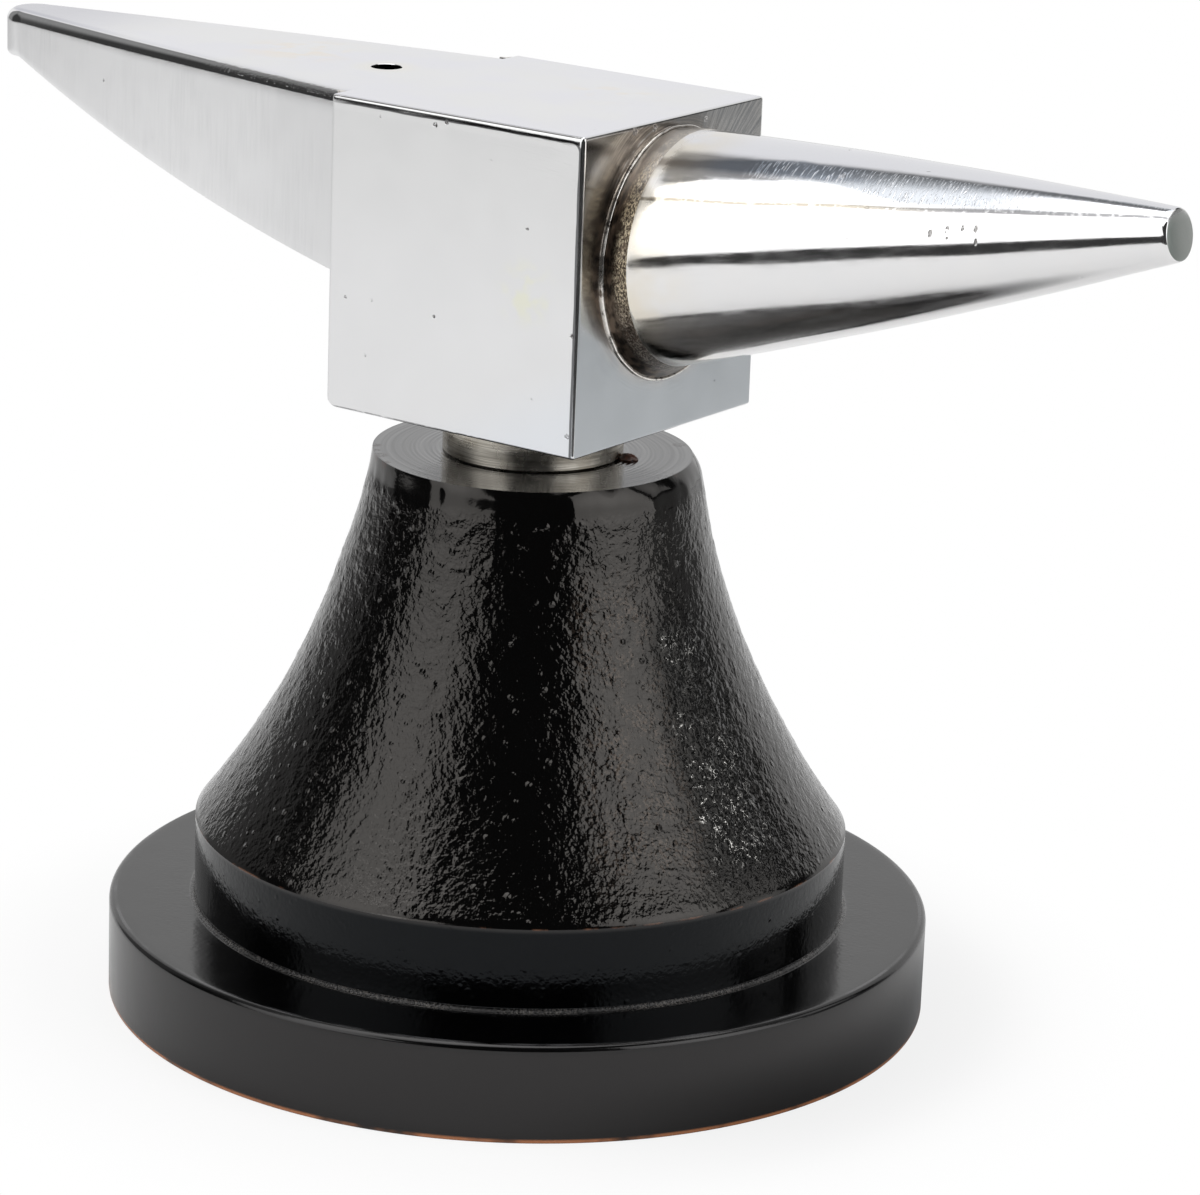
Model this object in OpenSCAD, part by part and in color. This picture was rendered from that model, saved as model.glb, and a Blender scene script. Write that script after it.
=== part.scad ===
// Small double-horn bench anvil that swivels on a round cast-iron pedestal.
// Millimetres. The origin is at the centre of the foot's underside and +Z is up.
// +X runs out along the round horn, -X along the flat horn, and the head turns about Z.

/* [Stand] */
// Radius of the round foot
foot_r = 40; // [37:0.5:46]
// Height of the foot's rim
foot_h = 9.5; // [7:0.5:12]
// Rounding of the foot's upper edge
foot_edge_r = 0.6; // [0.2:0.1:2]
// Rounding of the foot's lower edge
foot_base_r = 0.3; // [0.2:0.1:2]
// Radius of the turned band that stands on the foot
band_r = 31.7; // [29:0.1:34]
// Height of the turned band
band_h = 8.1; // [5:0.1:11]
// Fillet between the band and the foot
band_fillet_r = 0.4; // [0.3:0.1:2]
// Height of the turned top face above the bench
stand_h = 54.5; // [48:0.5:64]
// Radius of the turned top face's rim
top_r = 15.6; // [13:0.1:18]
// Rounding of the top face's rim
top_edge_r = 0.3; // [0.1:0.1:2]
// Radius of the bell's concave side
bell_arc_r = 84; // [60:1:140]

/* [Core and bore] */
// Radius of the cored recess at the bench
core_mouth_r = 25; // [20:0.5:28]
// Radius of the recess's flat roof
core_roof_r = 11; // [10:0.5:13]
// Height of the recess's roof above the bench
core_h = 24; // [22:0.5:28]
// Depth of the spot face that seats the plain washer
spot_depth = 0.5; // [0.2:0.1:1]
// Radial play of the plain washer in its spot face
spot_play = 0.5; // [0.2:0.1:1]
// Iron left between the roof and the floor of the bore
web_t = 7; // [5:0.5:10]
// Radial play of the screw in its hole through the web
screw_play = 0.5; // [0.3:0.1:1]
// Radial running clearance of the stem in the bore
swivel_gap = 0.05; // [0.02:0.01:0.1]

/* [Shank] */
// Radius of the bare collar between the stand and the block
collar_r = 8.65; // [7.5:0.05:11]
// Height of the collar, which is the gap under the block
collar_h = 4.5; // [2:0.1:9]
// Radius of the stem in the stand's bore
stem_r = 6; // [5:0.1:7.5]
// Space left between the stem's end and the floor of the bore
stem_end_gap = 0.5; // [0.2:0.1:2]
// Radius of the spigot pressed into the block
spigot_r = 6; // [5:0.1:7]
// Depth of the spigot in the block
spigot_l = 14; // [8:0.5:20]
// Chamfer on the shank's turned corners
shank_chamfer = 0.4; // [0.1:0.1:0.8]

/* [Retaining screw and washers] */
// Radius of the screw's thread, M8
thread_r = 4; // [3:0.5:4.5]
// Radius of the tapped hole before the thread is cut
tap_r = 3.4; // [2.5:0.1:3.8]
// Length of thread in the shank
thread_grip = 12; // [8:0.5:16]
// Depth of the tapped hole past the screw's end
tap_runout = 4; // [2:0.5:6]
// Width across the flats of the screw's head
head_af = 13; // [11:0.5:15]
// Height of the screw's head
head_h = 5.3; // [4:0.1:7]
// Outer radius of the plain washer
washer_r = 8; // [6.5:0.1:9]
// Thickness of the plain washer
washer_t = 1.6; // [1:0.1:2.5]
// Outer radius of the spring washer
spring_r = 7.2; // [6:0.1:8]
// Thickness of the spring washer
spring_t = 2; // [1.2:0.1:3]
// Width of the split in the spring washer
spring_split = 0.8; // [0.4:0.1:1.5]
// Radial play of both washers on the screw
washer_play = 0.2; // [0.1:0.05:0.4]

/* [Anvil block] */
// Length of the block along the horns
block_l = 29; // [24:0.5:36]
// Width of the block
block_w = 28.7; // [27:0.1:34]
// Height of the block
block_h = 29.9; // [27:0.1:36]
// Distance from the shank's axis to the block's middle, towards the round horn
block_shift = 0.6; // [-2:0.1:2]
// Rounding of the block's edges
block_edge_r = 0.35; // [0.1:0.05:1]
// Rounding of the lower edge under the flat horn
heel_r = 1.5; // [0.5:0.1:3]

/* [Round horn] */
// Distance the round horn reaches out of the block
round_reach = 52.8; // [40:0.2:60]
// Radius at the root, square to the horn's axis
round_root_r = 11.2; // [9:0.1:11.6]
// Radius of the flat tip
round_tip_r = 2.35; // [1.5:0.05:4]
// Swell of the taper beyond a straight cone, at half length
round_swell = 0.52; // [0:0.02:1]
// Depth of the horn's axis below the working face, at the root
round_drop = 12.15; // [12:0.05:14]
// Upward tilt of the horn's axis, in degrees
round_tilt = 10.1; // [0:0.1:12]
// Chamfer round the tip
round_tip_chamfer = 0.15; // [0.05:0.05:0.4]
// How far the hollow fillet of weld spreads over the block's face
round_weld_leg = 1; // [0.5:0.05:1.2]
// How far the fillet runs up the horn
round_weld_run = 2.2; // [1:0.1:3]
// Height of the fillet's crisp outer rim
round_weld_rim = 0.25; // [0.1:0.05:0.5]
// How far the fillet's end is sunk below the root radius
round_weld_sink = 0.2; // [0.1:0.05:0.5]

/* [Flat horn] */
// Distance the flat horn reaches out of the block
flat_reach = 52.9; // [42:0.1:60]
// Width at the root
flat_root_w = 25.2; // [20:0.2:26]
// Depth at the root, below the working face
flat_root_d = 17.7; // [14:0.1:22]
// Width of the rounded nose
flat_nose_w = 5.8; // [4:0.1:8]
// Depth at the nose
flat_nose_d = 4.8; // [3:0.1:7]
// Swell of each side in plan, at half length
flat_side_swell = 0.5; // [0:0.05:1]
// Swell of the underside, at half length
flat_belly = 1.2; // [0:0.05:2]
// Rounding of the horn's upper edges
flat_edge_r = 0.9; // [0.3:0.05:1.4]
// Rounding of the horn's lower edges
flat_low_edge_r = 0.6; // [0.3:0.05:1.4]
// Leg of the ground bead of weld round the root
flat_weld_leg = 1.2; // [0.6:0.1:1.6]
// Distance from the block to the punch hole's axis
punch_offset = 4.9; // [4:0.1:12]
// Radius of the punch hole
punch_r = 1.5; // [1:0.05:2]

/* [Hidden] */

// Arc steps of everything round, finer on the bell's great arc, coarser on the flat horn's corners
$fn = 96;
bell_fn = 360;
hull_fn = 32;
// Overlap that carries a cut past the face it opens
past = 1;
// Thickness of the slices that a hull is drawn through
slice_t = 0.01;

rim_z = foot_h + band_h;
bore_floor_z = core_h + web_t;
seat_z = core_h + spot_depth;
washer_z = seat_z - washer_t;
spring_z = washer_z - spring_t;
screw_hole_r = thread_r + screw_play;
washer_hole_r = thread_r + washer_play;
stem_z = bore_floor_z + stem_end_gap;
screw_end_z = stem_z + thread_grip;
head_sides = 6;
// Angle of the chamfer under the head's corners, and of the drill's point, in degrees
head_chamfer = 30;
drill_point = 118;

block_z = stand_h + collar_h;
work_z = block_z + block_h;
block_x0 = block_shift - block_l / 2;
block_x1 = block_shift + block_l / 2;

round_axis_z = work_z - round_drop;
round_l = round_reach / cos(round_tilt);
round_root_back = 4;
round_steps = 14;
weld_steps = 6;

nose_r = flat_nose_w / 2;
flat_taper_l = flat_reach - nose_r;
flat_steps = 10;
edge_steps = 4;
punch_x = block_x0 - punch_offset;

function mix(a, b, t) = a + (b - a) * t;
function swell(t) = 4 * t * (1 - t);

// Radius of the round horn at t of its length, 0 at the root and 1 at the tip
function horn_r(t) = mix(round_root_r, round_tip_r, t) + round_swell * swell(t);

// Centre of the circle of radius r through p and q that lies to the right of the way from p to q
function arc_centre(p, q, r) =
    let (d = q - p, half = norm(d) / 2, u = d / norm(d))
    (p + q) / 2 + sqrt(r * r - half * half) * [u[1], -u[0]];

// What a rounding of radius r takes off a square corner whose point is at the origin
module corner_cut(r) {
    difference() {
        translate([-past, -past]) square(r + past);
        translate([r, r]) circle(r);
    }
}

// Rectangle centred at the origin; radii run from the lower left corner, anticlockwise
module rounded_rect(size, radii) {
    difference() {
        square(size, center = true);
        for (i = [0:3])
            let (sx = i == 0 || i == 3 ? 1 : -1, sy = i < 2 ? 1 : -1)
            translate([-sx * size[0] / 2, -sy * size[1] / 2])
                scale([sx, sy]) corner_cut(radii[i]);
    }
}

// Half section of the pedestal's outside
module stand_outline() {
    bell_low = [band_r, rim_z];
    bell_high = [top_r, stand_h - top_edge_r];
    difference() {
        square([foot_r, foot_h]);
        translate([foot_r, 0]) mirror([1, 0]) corner_cut(foot_base_r);
        translate([foot_r, foot_h]) mirror([1, 0]) mirror([0, 1]) corner_cut(foot_edge_r);
    }
    square([band_r, rim_z]);
    translate([band_r, foot_h]) difference() {
        translate([-past, -past]) square(band_fillet_r + past);
        translate([band_fillet_r, band_fillet_r]) circle(band_fillet_r);
    }
    difference() {
        polygon([[0, rim_z - past], [band_r, rim_z - past], bell_low, bell_high,
                 [top_r, stand_h], [0, stand_h]]);
        translate(arc_centre(bell_low, bell_high, bell_arc_r)) circle(bell_arc_r, $fn = bell_fn);
        translate([top_r, stand_h]) mirror([1, 0]) mirror([0, 1]) corner_cut(top_edge_r);
    }
}

module stand() {
    color([0.05, 0.05, 0.055]) rotate_extrude() difference() {
        stand_outline();
        polygon([[0, -past], [core_mouth_r, -past], [core_mouth_r, 0], [core_roof_r, core_h],
                 [0, core_h]]);
        square([washer_r + spot_play, seat_z]);
        square([screw_hole_r, stand_h]);
        translate([0, bore_floor_z]) square([stem_r + swivel_gap, stand_h]);
    }
}

module washer(r, t) {
    difference() {
        cylinder(r = r, h = t);
        translate([0, 0, -past]) cylinder(r = washer_hole_r, h = t + 2 * past);
    }
}

module plain_washer() {
    color([0.72, 0.73, 0.74]) translate([0, 0, washer_z]) washer(washer_r, washer_t);
}

module spring_washer() {
    color([0.5, 0.5, 0.52]) translate([0, 0, spring_z]) difference() {
        washer(spring_r, spring_t);
        translate([0, -spring_split / 2, -past])
            cube([spring_r + past, spring_split, spring_t + 2 * past]);
    }
}

module retaining_screw() {
    flat_r = head_af / 2;
    color([0.7, 0.71, 0.72]) {
        translate([0, 0, spring_z - head_h]) intersection() {
            cylinder(r = flat_r / cos(180 / head_sides), h = head_h, $fn = head_sides);
            cylinder(r1 = flat_r, r2 = flat_r + head_h / tan(head_chamfer), h = head_h);
        }
        translate([0, 0, spring_z - past])
            cylinder(r = thread_r, h = screw_end_z - shank_chamfer - spring_z + past);
        translate([0, 0, screw_end_z - shank_chamfer])
            cylinder(r1 = thread_r, r2 = thread_r - shank_chamfer, h = shank_chamfer);
    }
}

module shank() {
    c = shank_chamfer;
    tap_top = screw_end_z + tap_runout;
    color([0.55, 0.53, 0.5]) rotate_extrude() polygon([
        [tap_r, stem_z], [stem_r - c, stem_z], [stem_r, stem_z + c], [stem_r, stand_h],
        [collar_r - c / 2, stand_h], [collar_r, stand_h + c / 2], [collar_r, block_z],
        [spigot_r, block_z], [spigot_r, block_z + spigot_l - c],
        [spigot_r - c, block_z + spigot_l], [0, block_z + spigot_l],
        [0, tap_top + tap_r / tan(drill_point / 2)], [tap_r, tap_top]]);
}

// The block is where three rounded bars cross, so every edge is rounded
module anvil_block() {
    e = block_edge_r;
    color([0.86, 0.86, 0.88]) translate([block_shift, 0, block_z + block_h / 2]) difference() {
        intersection() {
            linear_extrude(block_h, center = true) rounded_rect([block_l, block_w], [e, e, e, e]);
            rotate([90, 0, 0]) linear_extrude(block_w, center = true)
                rounded_rect([block_l, block_h], [heel_r, e, e, e]);
            rotate([90, 0, 90]) linear_extrude(block_l, center = true)
                rounded_rect([block_w, block_h], [e, e, e, e]);
        }
        translate([-block_shift, 0, -block_h / 2 - past]) {
            cylinder(r = spigot_r, h = spigot_l + past - shank_chamfer);
            translate([0, 0, spigot_l + past - shank_chamfer])
                cylinder(r1 = spigot_r, r2 = spigot_r - shank_chamfer, h = shank_chamfer);
        }
    }
}

// The turned horn on its own axis, started inside the block so that its root can be cut to the face
module round_taper() {
    back_r = round_root_r + round_root_back * (round_root_r - round_tip_r) / round_l;
    c = round_tip_chamfer;
    rotate_extrude() polygon(concat(
        [[0, -round_root_back], [back_r, -round_root_back]],
        [for (i = [0:round_steps - 1]) let (t = i / round_steps) [horn_r(t), t * round_l]],
        [[round_tip_r, round_l - c], [round_tip_r - c, round_l], [0, round_l]]));
}

module placed_round_taper() {
    translate([block_x1, 0, round_axis_z]) rotate([0, 90 - round_tilt, 0]) round_taper();
}

module beyond_round_face() {
    translate([block_x1, -block_w, 0]) cube([2 * round_reach, 2 * block_w, 2 * work_z]);
}

module round_horn() {
    color([0.84, 0.84, 0.86]) intersection() {
        placed_round_taper();
        beyond_round_face();
    }
}

// Ring whose hollow side is a quarter ellipse, from its rim on the block up to the horn
module round_horn_weld() {
    end_r = round_root_r - round_weld_sink;
    rim_r = end_r + round_weld_leg;
    core_r = end_r - round_weld_run;
    color([0.55, 0.5, 0.45]) difference() {
        translate([block_x1, 0, round_axis_z]) rotate([0, 90, 0]) rotate_extrude() polygon(concat(
            [[core_r, 0], [rim_r, 0]],
            [for (i = [0:weld_steps])
                let (a = 90 * i / weld_steps)
                [rim_r - round_weld_leg * sin(a),
                 round_weld_rim + round_weld_run * (1 - cos(a))]],
            [[core_r, round_weld_rim + round_weld_run]]));
        placed_round_taper();
    }
}

function flat_half_w(t) = mix(flat_root_w / 2, nose_r, t) + flat_side_swell * swell(t);
function flat_d(t) = mix(flat_root_d, flat_nose_d, t) + flat_belly * swell(t);

// Thin slice across the flat horn, its top at the working face
module flat_slice(x, half_w, d, top_r, low_r) {
    translate([x, 0, work_z - d / 2]) rotate([90, 0, -90]) linear_extrude(slice_t)
        rounded_rect([2 * half_w, d], [low_r, low_r, top_r, top_r], $fn = hull_fn);
}

// The horn's taper and its full round nose, as one hull
module flat_taper() {
    nose_x = block_x0 - flat_taper_l;
    hull() {
        for (i = [0:flat_steps - 1])
            let (t = i / flat_steps)
            flat_slice(block_x0 - t * flat_taper_l, flat_half_w(t), flat_d(t),
                       flat_edge_r, flat_low_edge_r);
        for (i = [0:edge_steps])
            let (a = 90 * i / edge_steps, top_in = flat_edge_r * (1 - cos(a)),
                 low_in = flat_low_edge_r * (1 - cos(a)))
            translate([nose_x, 0, work_z]) {
                translate([0, 0, -slice_t - flat_edge_r * (1 - sin(a))])
                    cylinder(r = nose_r - top_in, h = slice_t, $fn = hull_fn);
                translate([0, 0, flat_low_edge_r * (1 - sin(a)) - flat_nose_d])
                    cylinder(r = nose_r - low_in, h = slice_t, $fn = hull_fn);
            }
    }
}

module flat_horn() {
    color([0.86, 0.86, 0.88]) difference() {
        flat_taper();
        translate([punch_x, 0, 0]) cylinder(r = punch_r, h = work_z + past);
    }
}

module flat_horn_weld() {
    leg = flat_weld_leg;
    color([0.6, 0.56, 0.5]) difference() {
        hull() {
            flat_slice(block_x0, flat_root_w / 2 + leg, flat_root_d + leg, flat_edge_r, flat_edge_r);
            flat_slice(block_x0 - leg, flat_root_w / 2, flat_root_d, flat_edge_r, flat_edge_r);
        }
        flat_taper();
    }
}

stand();
plain_washer();
spring_washer();
retaining_screw();
shank();
anvil_block();
round_horn();
round_horn_weld();
flat_horn();
flat_horn_weld();
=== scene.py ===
"""Looks of a small double-horn bench anvil on its enamelled pedestal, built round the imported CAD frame."""

from math import atan2, copysign, cos, degrees, hypot, pi, radians, sin, sqrt, tan
from types import SimpleNamespace

import bmesh
import bpy
from mathutils import Matrix, Quaternion, Vector, noise


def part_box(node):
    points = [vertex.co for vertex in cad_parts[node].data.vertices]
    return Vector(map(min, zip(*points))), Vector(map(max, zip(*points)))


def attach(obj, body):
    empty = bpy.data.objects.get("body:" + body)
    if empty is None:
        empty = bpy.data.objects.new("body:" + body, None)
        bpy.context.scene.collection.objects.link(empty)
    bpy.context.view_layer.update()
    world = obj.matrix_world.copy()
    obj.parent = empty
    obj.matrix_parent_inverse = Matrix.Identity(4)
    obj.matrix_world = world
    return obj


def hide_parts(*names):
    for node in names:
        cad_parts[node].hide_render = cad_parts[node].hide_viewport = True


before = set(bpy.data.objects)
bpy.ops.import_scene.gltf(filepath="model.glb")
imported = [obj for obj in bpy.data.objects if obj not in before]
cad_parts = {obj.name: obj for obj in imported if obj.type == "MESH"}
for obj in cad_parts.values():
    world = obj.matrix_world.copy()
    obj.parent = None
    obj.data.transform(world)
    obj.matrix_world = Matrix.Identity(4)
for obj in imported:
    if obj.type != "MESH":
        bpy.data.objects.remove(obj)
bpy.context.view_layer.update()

# ---- sizes, in millimetres

MM = 0.001


def box(node):
    """The two corners of a CAD node's box."""
    low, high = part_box(node)
    return low / MM, high / MM


stand_high = box("stand")[1]
block_low, block_high = box("anvil_block")
round_high = box("round_horn")[1]
flat_low = box("flat_horn")[0]

WORK_Z = block_high.z

# the pedestal
FOOT_R = min(stand_high.x, stand_high.y)
FOOT_H = 9.5
FOOT_EDGE_R = 0.6
FOOT_BASE_R = 0.3
BAND_R = 31.7
BAND_H = 8.1
BAND_FILLET_R = 0.4
RIM_Z = FOOT_H + BAND_H
STAND_H = stand_high.z
TOP_R = 15.6
TOP_EDGE_R = 0.3
DISC_R = TOP_R - TOP_EDGE_R
BELL_ARC_R = 84
CORE_MOUTH_R = 25
CORE_ROOF_R = 11
CORE_H = 24
BORE_R = 6.05
BORE_FLOOR_Z = 31
SCREW_HOLE_R = 4.5

# the round horn
ROUND_ROOT_R = 11.2
ROUND_TIP_R = 2.35
ROUND_SWELL = 0.52
ROUND_TILT = radians(10.1)
ROUND_AXIS_Z = WORK_Z - 12.15
ROUND_REACH = 52.8
ROUND_L = ROUND_REACH / cos(ROUND_TILT)
ROUND_TIP_CHAMFER = 0.15

# the flat horn
FLAT_ROOT_W = 25.2
FLAT_ROOT_D = 17.7
FLAT_NOSE_W = 5.8
FLAT_NOSE_D = 4.8
FLAT_SIDE_SWELL = 0.5
FLAT_BELLY = 1.2
FLAT_EDGE_R = 1.2
FLAT_LOW_EDGE_R = 0.6
NOSE_R = FLAT_NOSE_W / 2
FLAT_TAPER_L = block_low.x - flat_low.x - NOSE_R
PUNCH_X = block_low.x - 4.9
PUNCH_R = 1.5


def mix(a, b, t):
    return a + (b - a) * t


def swell(t):
    return 4 * t * (1 - t)


def ease(value, low, high):
    """0 at low, 1 at high and smooth between them, whichever is the larger."""
    t = max(0, min(1, (value - low) / (high - low)))
    return t * t * (3 - 2 * t)


# ---- meshes


def new_object(name, data):
    """A new object in the scene."""
    thing = bpy.data.objects.new(name, data)
    bpy.context.scene.collection.objects.link(thing)
    return thing


def mesh_object(name, verts, faces, smooth_angle=radians(35), weld=None):
    """A new object of vertices in millimetres and faces, smooth but for edges sharper than smooth_angle."""
    mesh = bpy.data.meshes.new(name)
    mesh.from_pydata([tuple(c * MM for c in v) for v in verts], [], [tuple(f) for f in faces])
    mesh.validate()
    bm = bmesh.new()
    bm.from_mesh(mesh)
    if weld:
        bmesh.ops.remove_doubles(bm, verts=bm.verts, dist=weld * MM)
    bmesh.ops.recalc_face_normals(bm, faces=bm.faces)
    bm.to_mesh(mesh)
    bm.free()
    mesh.polygons.foreach_set("use_smooth", [True] * len(mesh.polygons))
    mesh.set_sharp_from_angle(angle=smooth_angle)
    return new_object(name, mesh)


def add_line(verts, line):
    """Adds a line of vertices and returns their numbers."""
    start = len(verts)
    verts.extend(line)
    return range(start, len(verts))


def line_faces(lines, closed=True):
    """Faces between neighbouring lines of as many vertices, each closed to a ring or left open."""
    faces = []
    for low, high in zip(lines, lines[1:]):
        for i in range(len(low) if closed else len(low) - 1):
            j = (i + 1) % len(low)
            faces.append(list(dict.fromkeys((low[i], low[j], high[j], high[i]))))
    return faces


def lathe(profile, segments):
    """Vertices and faces of a profile of (radius, height) turned about Z; a radius of 0 is one vertex."""
    verts, rings = [], []
    for r, z in profile:
        if r > 0:
            rings.append(add_line(verts, circle(r, z, segments)))
        else:
            rings.append([*add_line(verts, [(0, 0, z)])] * segments)
    return verts, line_faces(rings)


def angles(start, end, steps):
    """Angles from start to end, which are in degrees."""
    return [radians(mix(start, end, i / steps)) for i in range(steps + 1)]


def turns(count):
    """The angles of a whole turn in equal steps."""
    return angles(0, 360, count)[:-1]


def circle(r, z, count):
    return [(r * cos(a), r * sin(a), z) for a in turns(count)]


def arc(centre, radius, start, end, steps):
    """Points of (radius, height) on an arc, its angles in degrees from the +radius way."""
    r, z = centre
    return [(r + radius * cos(a), z + radius * sin(a)) for a in angles(start, end, steps)]


# ---- directions, as the camera sees the object

CAMERA_AT = Vector((256.90, -350.23, 170.89))
CAMERA_RIGHT = Vector((0.80869814, 0.58716559, 0.03526871))
CAMERA_DOWN = Vector((0.19544890, -0.21167095, -0.95759863))
CAMERA_FORWARD = Vector((-0.55480361, 0.78130147, -0.28593877))
CAMERA_AZIMUTH = degrees(atan2(CAMERA_AT.x, -CAMERA_AT.y))
AWAY = Vector((CAMERA_FORWARD.x, CAMERA_FORWARD.y, 0)).normalized()
ASIDE = Vector((AWAY.y, -AWAY.x, 0))


def level_way(azimuth):
    """The level direction at an azimuth in degrees from the camera, positive to its right."""
    a = radians(CAMERA_AZIMUTH + azimuth)
    return Vector((sin(a), -cos(a), 0))


# ---- the pedestal

BELL_LOW = Vector((BAND_R, RIM_Z))
BELL_HIGH = Vector((TOP_R, STAND_H - TOP_EDGE_R))
ROUGH_PATCH = level_way(47)
# the way that the patch of tan dusting and painted sheen faces
DUST_AND_SHEEN_WAY = level_way(26)
SHOULDER_R = 3
LEAN_LOW = 0.12
LEAN_HIGH = 0.25
BELL_STEPS = 190
STAND_TURNS = 840


def bell_centre():
    along = BELL_HIGH - BELL_LOW
    out = Vector((along.y, -along.x)).normalized()
    return (BELL_LOW + BELL_HIGH) / 2 + out * sqrt(BELL_ARC_R**2 - (along.length / 2)**2)


BELL_CENTRE = bell_centre()


def bell_radius(z):
    return BELL_CENTRE.x - sqrt(BELL_ARC_R**2 - (z - BELL_CENTRE.y)**2)


def bell_lean(z):
    """How far the casting stands to one side of the swivel's axis at a height."""
    return LEAN_LOW * ease(z, 20, 28) + LEAN_HIGH * ease(z, 43, 53)


def cast_relief(p):
    """How far the cast bell's pebbled skin stands proud at a point."""
    z_share = ease(p.z, RIM_Z, RIM_Z + 1.2) * ease(p.z, STAND_H - 1.6, STAND_H - 3)
    facing = Vector((p.x, p.y, 0)).normalized().dot(ROUGH_PATCH)
    patch = ease(facing, 0.955, 0.995) * ease(p.z, 18, 24) * ease(p.z, 46, 34)
    broad = 0.06 * noise.noise(p / 5)
    pebbles = 0.04 * noise.noise(p / 1.5 + Vector((7, 3, 1)))
    grain = 0.034 * noise.noise(p / 0.75 + Vector((2, 9, 4)))
    near = noise.voronoi(p / 2.6)[0][0]
    blobs = 0.05 * max(0, 1 - (near / 0.2)**2)
    ledges = 0.11 * noise.noise(Vector((p.x, p.y, 2.2 * p.z)) / 2.4 + Vector((5, 5, 5)))
    return z_share * (broad + (pebbles + grain) * (1 + 0.9 * patch) + blobs + ledges * patch)


def bell_point(angle, z):
    """A point of the bell: its lean, the rounded shoulder under the turned face, and its skin."""
    out = Vector((cos(angle), sin(angle), 0))
    side = out.dot(ASIDE)
    wander = 0.16 * noise.noise(out * 4.5 + Vector((3, 1, 8))) + 0.07 * noise.noise(out * 11)
    spare = bell_radius(STAND_H) + bell_lean(STAND_H) * side - DISC_R + wander
    r = bell_radius(z) + bell_lean(z) * side + wander * ease(z, STAND_H - 5, STAND_H)
    if spare > 0:
        depth = sqrt(2 * SHOULDER_R * spare)
        r -= max(0, depth - (STAND_H - z))**2 / (2 * SHOULDER_R)
    else:
        r -= spare * ease(z, STAND_H - 2, STAND_H)
    p = out * r + Vector((0, 0, z))
    return p + out * cast_relief(p)


def stand_rows():
    """Rows of (radius, height) from the bore down inside and up outside; on the bell the radius is None."""
    base, edge, fillet = FOOT_BASE_R, FOOT_EDGE_R, BAND_FILLET_R
    inside = [(SCREW_HOLE_R, BORE_FLOOR_Z), (SCREW_HOLE_R, CORE_H), (CORE_ROOF_R, CORE_H)]
    inside += [(mix(CORE_ROOF_R, CORE_MOUTH_R, i / 6), mix(CORE_H, 0, i / 6)) for i in range(1, 7)]
    under = [(mix(CORE_MOUTH_R, FOOT_R - base, i / 4), 0) for i in range(1, 4)]
    foot = arc((FOOT_R - base, base), base, -90, 0, 6) + arc((FOOT_R - edge, FOOT_H - edge), edge, 0, 90, 10)
    flange = [(mix(FOOT_R - edge, BAND_R + fillet, i / 8), FOOT_H) for i in range(1, 8)]
    band = arc((BAND_R + fillet, FOOT_H + fillet), fillet, 270, 180, 8)
    wall = [(BAND_R, mix(FOOT_H + fillet, RIM_Z, i / 6)) for i in range(1, 7)]
    bell = [(None, mix(RIM_Z, STAND_H, i / BELL_STEPS)) for i in range(1, BELL_STEPS)]
    face = [(mix(DISC_R, BORE_R, i / 8), STAND_H) for i in range(9)]
    return inside + under + foot + flange + band + wall + bell + face + [(BORE_R, BORE_FLOOR_Z)]


def make_stand():
    verts, rings = [], []
    for r, z in stand_rows():
        on_bell = r is None
        line = [bell_point(a, z) for a in turns(STAND_TURNS)] if on_bell else circle(r, z, STAND_TURNS)
        rings.append(add_line(verts, line))
    rings.append(rings[0])
    return mesh_object("pedestal_casting", verts, line_faces(rings))


def make_paint_run():
    """A small lumpy run of enamel that dried on the turned face beside the shank."""
    middle = Vector((8.6, 3.5, STAND_H))
    profile = [(0.74, -0.1), (0.78, 0.04), (0.7, 0.22), (0.5, 0.42), (0.24, 0.52), (0, 0.55)]
    verts, faces = lathe([(0, -0.1)] + profile, 40)
    placed = []
    for v in verts:
        way = Vector((v[0], v[1], 0)).normalized()
        reach = 1 + 0.3 * noise.noise(way * 1.7 + Vector((2, 5, 1))) + 0.15 * noise.noise(way * 4)
        placed.append(middle + (ASIDE * v[0] * 1.35 + AWAY * v[1]) * reach + Vector((0, 0, v[2])))
    return mesh_object("enamel_run", placed, faces)


# ---- the round horn and its weld

ROUND_START = Vector((block_high.x, 0, ROUND_AXIS_Z))
ROUND_WAY = Vector((cos(ROUND_TILT), 0, sin(ROUND_TILT)))
SEAM_X = 2.65
NECK = 0.62
LIP_R = 0.12
LIP_STEPS = 9
HOLLOW_X = 0.14
HOLLOW_STEPS = 16
HOLLOW_FIRST = 2 + LIP_STEPS + 1
HOLLOW_LAST = HOLLOW_FIRST + HOLLOW_STEPS - 1
WELD_SUNK = 0.2
WELD_TURNS = 300


def round_radius(t):
    return mix(ROUND_ROOT_R, ROUND_TIP_R, t) + ROUND_SWELL * swell(t)


def hand_finish(p):
    """The slight waves that polishing by hand left along the round horn."""
    share = ease(p.x, ROUND_START.x + 2, ROUND_START.x + 9)
    share *= ease(p.x, round_high.x, round_high.x - 6)
    along = Vector((p.x / 11, p.y / 5, p.z / 5))
    return 0.05 * share * (noise.noise(along) - 0.3)


def cut_at_x(piece, x):
    """Keeps what lies beyond x and closes the cut."""
    bm = bmesh.new()
    bm.from_mesh(piece.data)
    geom = bm.verts[:] + bm.edges[:] + bm.faces[:]
    plane = {"plane_co": (x * MM, 0, 0), "plane_no": (1, 0, 0)}
    cut = bmesh.ops.bisect_plane(bm, geom=geom, clear_inner=True, **plane)
    bmesh.ops.contextual_create(bm, geom=[e for e in cut["geom_cut"] if isinstance(e, bmesh.types.BMEdge)])
    bm.to_mesh(piece.data)
    bm.free()


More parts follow.
